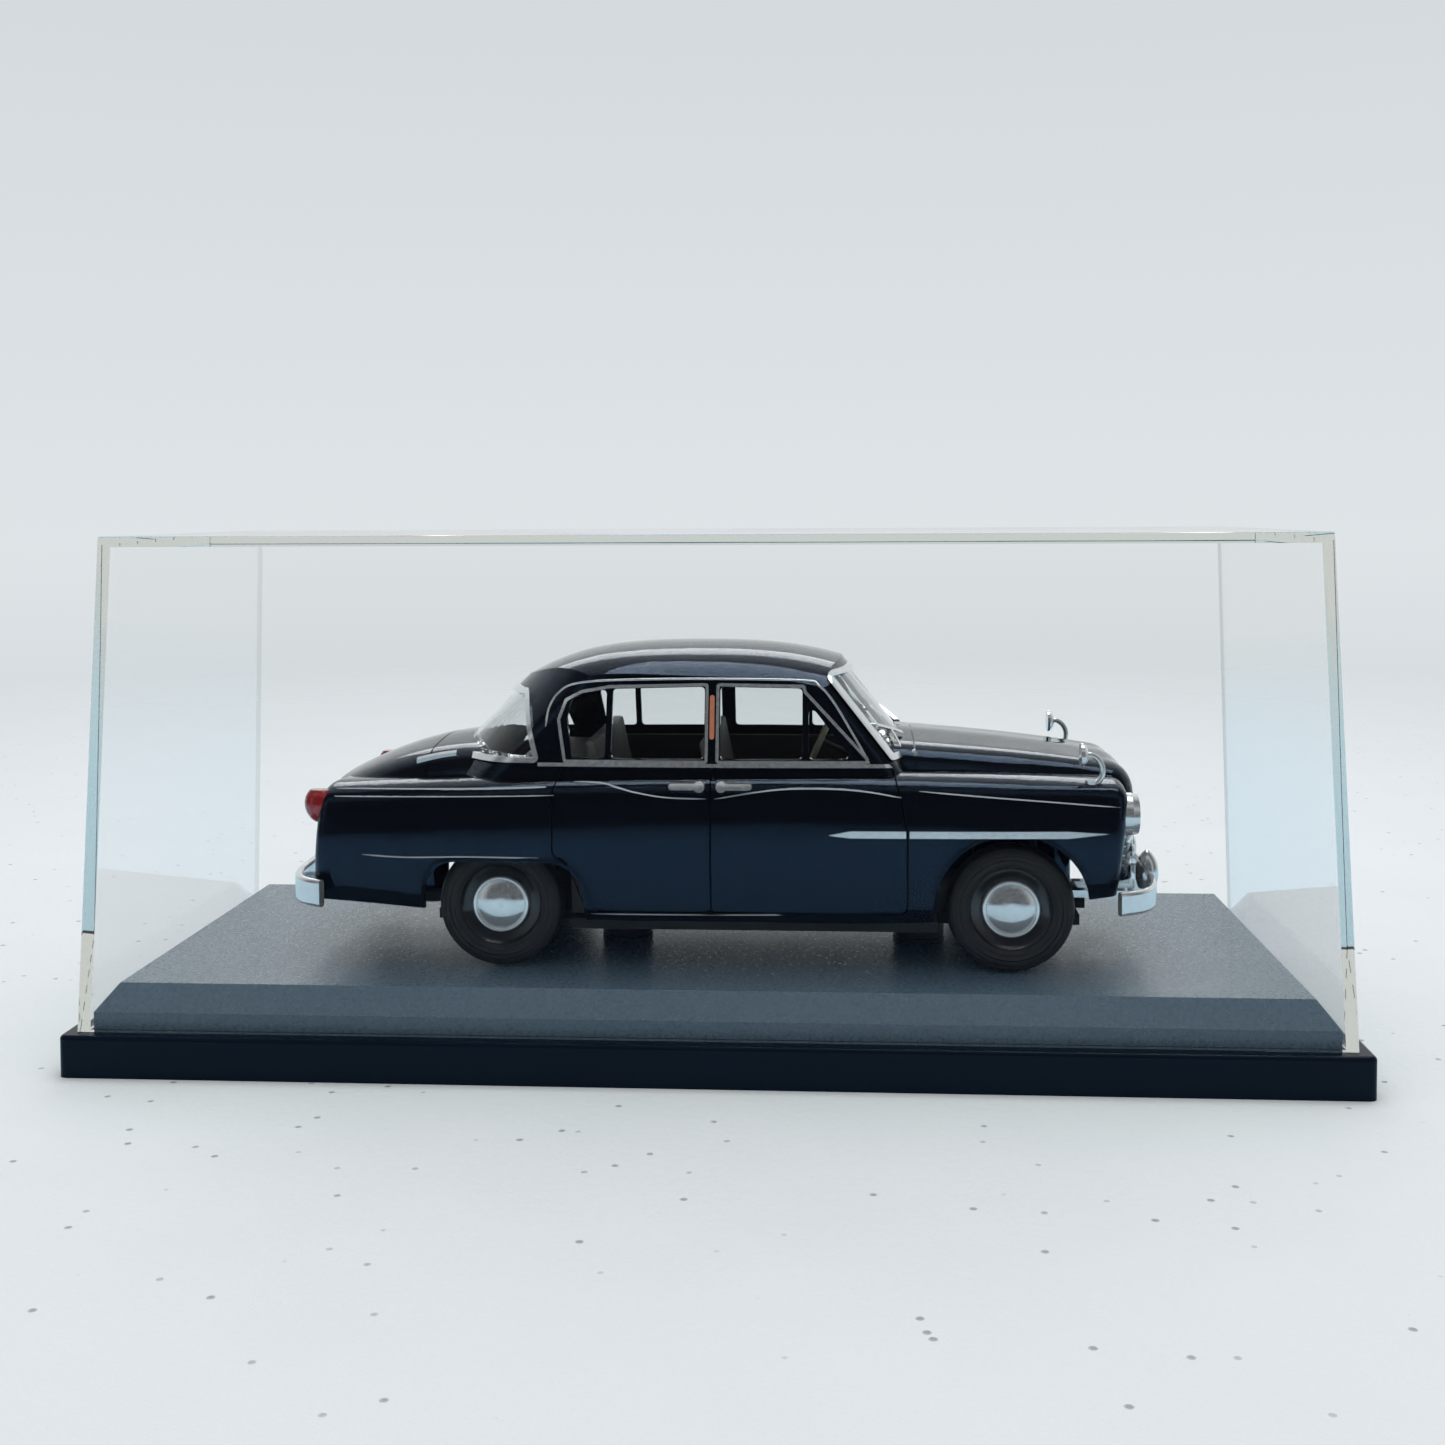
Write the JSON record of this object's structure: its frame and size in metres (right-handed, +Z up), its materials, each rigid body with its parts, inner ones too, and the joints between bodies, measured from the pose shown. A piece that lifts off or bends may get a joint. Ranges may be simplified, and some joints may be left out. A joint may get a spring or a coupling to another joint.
{
  "type": "model car display stand",
  "caption": "Low plinth with a bevelled deck on which a small saloon model stands on two posts, under a clear lift-off cover.",
  "frame": {"origin": "centre of the plinth's bottom face", "axes": "+X towards the model car's nose, along the plinth's long side; +Y towards the car's left side; +Z up"},
  "size_m": [0.1434, 0.0614, 0.06],
  "materials": {
    "axle_steel": "bright drawn wire",
    "body_black": "gloss black enamel on die-cast metal",
    "bright_trim": "bright plating",
    "car_glass": "clear styrene glazing",
    "clear_acrylic": "clear polystyrene, polished",
    "deck_grey": "satin grey with a fine speckle",
    "interior_dark": "moulded, matt",
    "lamp_amber": "translucent amber lens",
    "lamp_clear": "clear moulded lens",
    "lamp_red": "translucent red lens",
    "plinth_black": "moulded gloss black, faint blue cast",
    "post_black": "satin black",
    "rim_black": "black enamel",
    "screw_steel": "zinc plated, cross recess",
    "seat_grey": "moulded, matt pale grey",
    "tyre_rubber": "moulded rubber, satin sidewall",
    "underbody_black": "moulded matt black",
    "wheel_ivory": "moulded, satin"
  },
  "bodies": {
    "stand": {"base_plinth": "plinth_black", "boot_hinges": "bright_trim", "car_body": "body_black", "chassis_plate": "underbody_black", "chassis_screws": "screw_steel", "dashboard": "interior_dark", "display_deck": "deck_grey", "door_handles": "bright_trim", "front_bumper": "bright_trim", "front_mounting_post": "post_black", "front_overriders": "bright_trim", "front_seat": "seat_grey", "grille": "bright_trim", "headlight_lenses": "lamp_clear", "headlight_rims": "bright_trim", "interior_tub": "interior_dark", "mounting_screws": "screw_steel", "parking_lamps": "lamp_clear", "pillar_indicators": "lamp_amber", "rear_bumper": "bright_trim", "rear_mounting_post": "post_black", "rear_seat": "seat_grey", "rear_window_glass": "car_glass", "rear_window_surround": "bright_trim", "side_glass_left": "car_glass", "side_glass_right": "car_glass", "side_spears": "bright_trim", "steering_column": "interior_dark", "steering_wheel": "wheel_ivory", "taillights": "lamp_red", "window_frames_left": "bright_trim", "window_frames_right": "bright_trim", "windscreen_glass": "car_glass", "windscreen_surround": "bright_trim", "windscreen_wipers": "bright_trim", "wing_mirror_left": "bright_trim", "wing_mirror_right": "bright_trim"},
    "front_wheels": {"front_axle": "axle_steel", "front_left_tyre": "tyre_rubber", "front_left_wheel": "rim_black", "front_left_hubcap": "bright_trim", "front_right_tyre": "tyre_rubber", "front_right_wheel": "rim_black", "front_right_hubcap": "bright_trim"},
    "rear_wheels": {"rear_axle": "axle_steel", "rear_left_tyre": "tyre_rubber", "rear_left_wheel": "rim_black", "rear_left_hubcap": "bright_trim", "rear_right_tyre": "tyre_rubber", "rear_right_wheel": "rim_black", "rear_right_hubcap": "bright_trim"},
    "cover": {"clear_cover": "clear_acrylic"}
  },
  "joints": [
    {"name": "front_axle_turn", "type": "hinge", "parent": "stand", "child": "front_wheels", "pos_m": [0.03455, 0, 0.01686], "axis": [0, 1, 0], "continuous": true},
    {"name": "rear_axle_turn", "type": "hinge", "parent": "stand", "child": "rear_wheels", "pos_m": [-0.0244, 0, 0.01686], "axis": [0, 1, 0], "continuous": true},
    {"name": "cover_lift", "type": "slide", "parent": "stand", "child": "cover", "axis": [0, 0, 1], "range_m": [0, 0.06]}
  ]
}
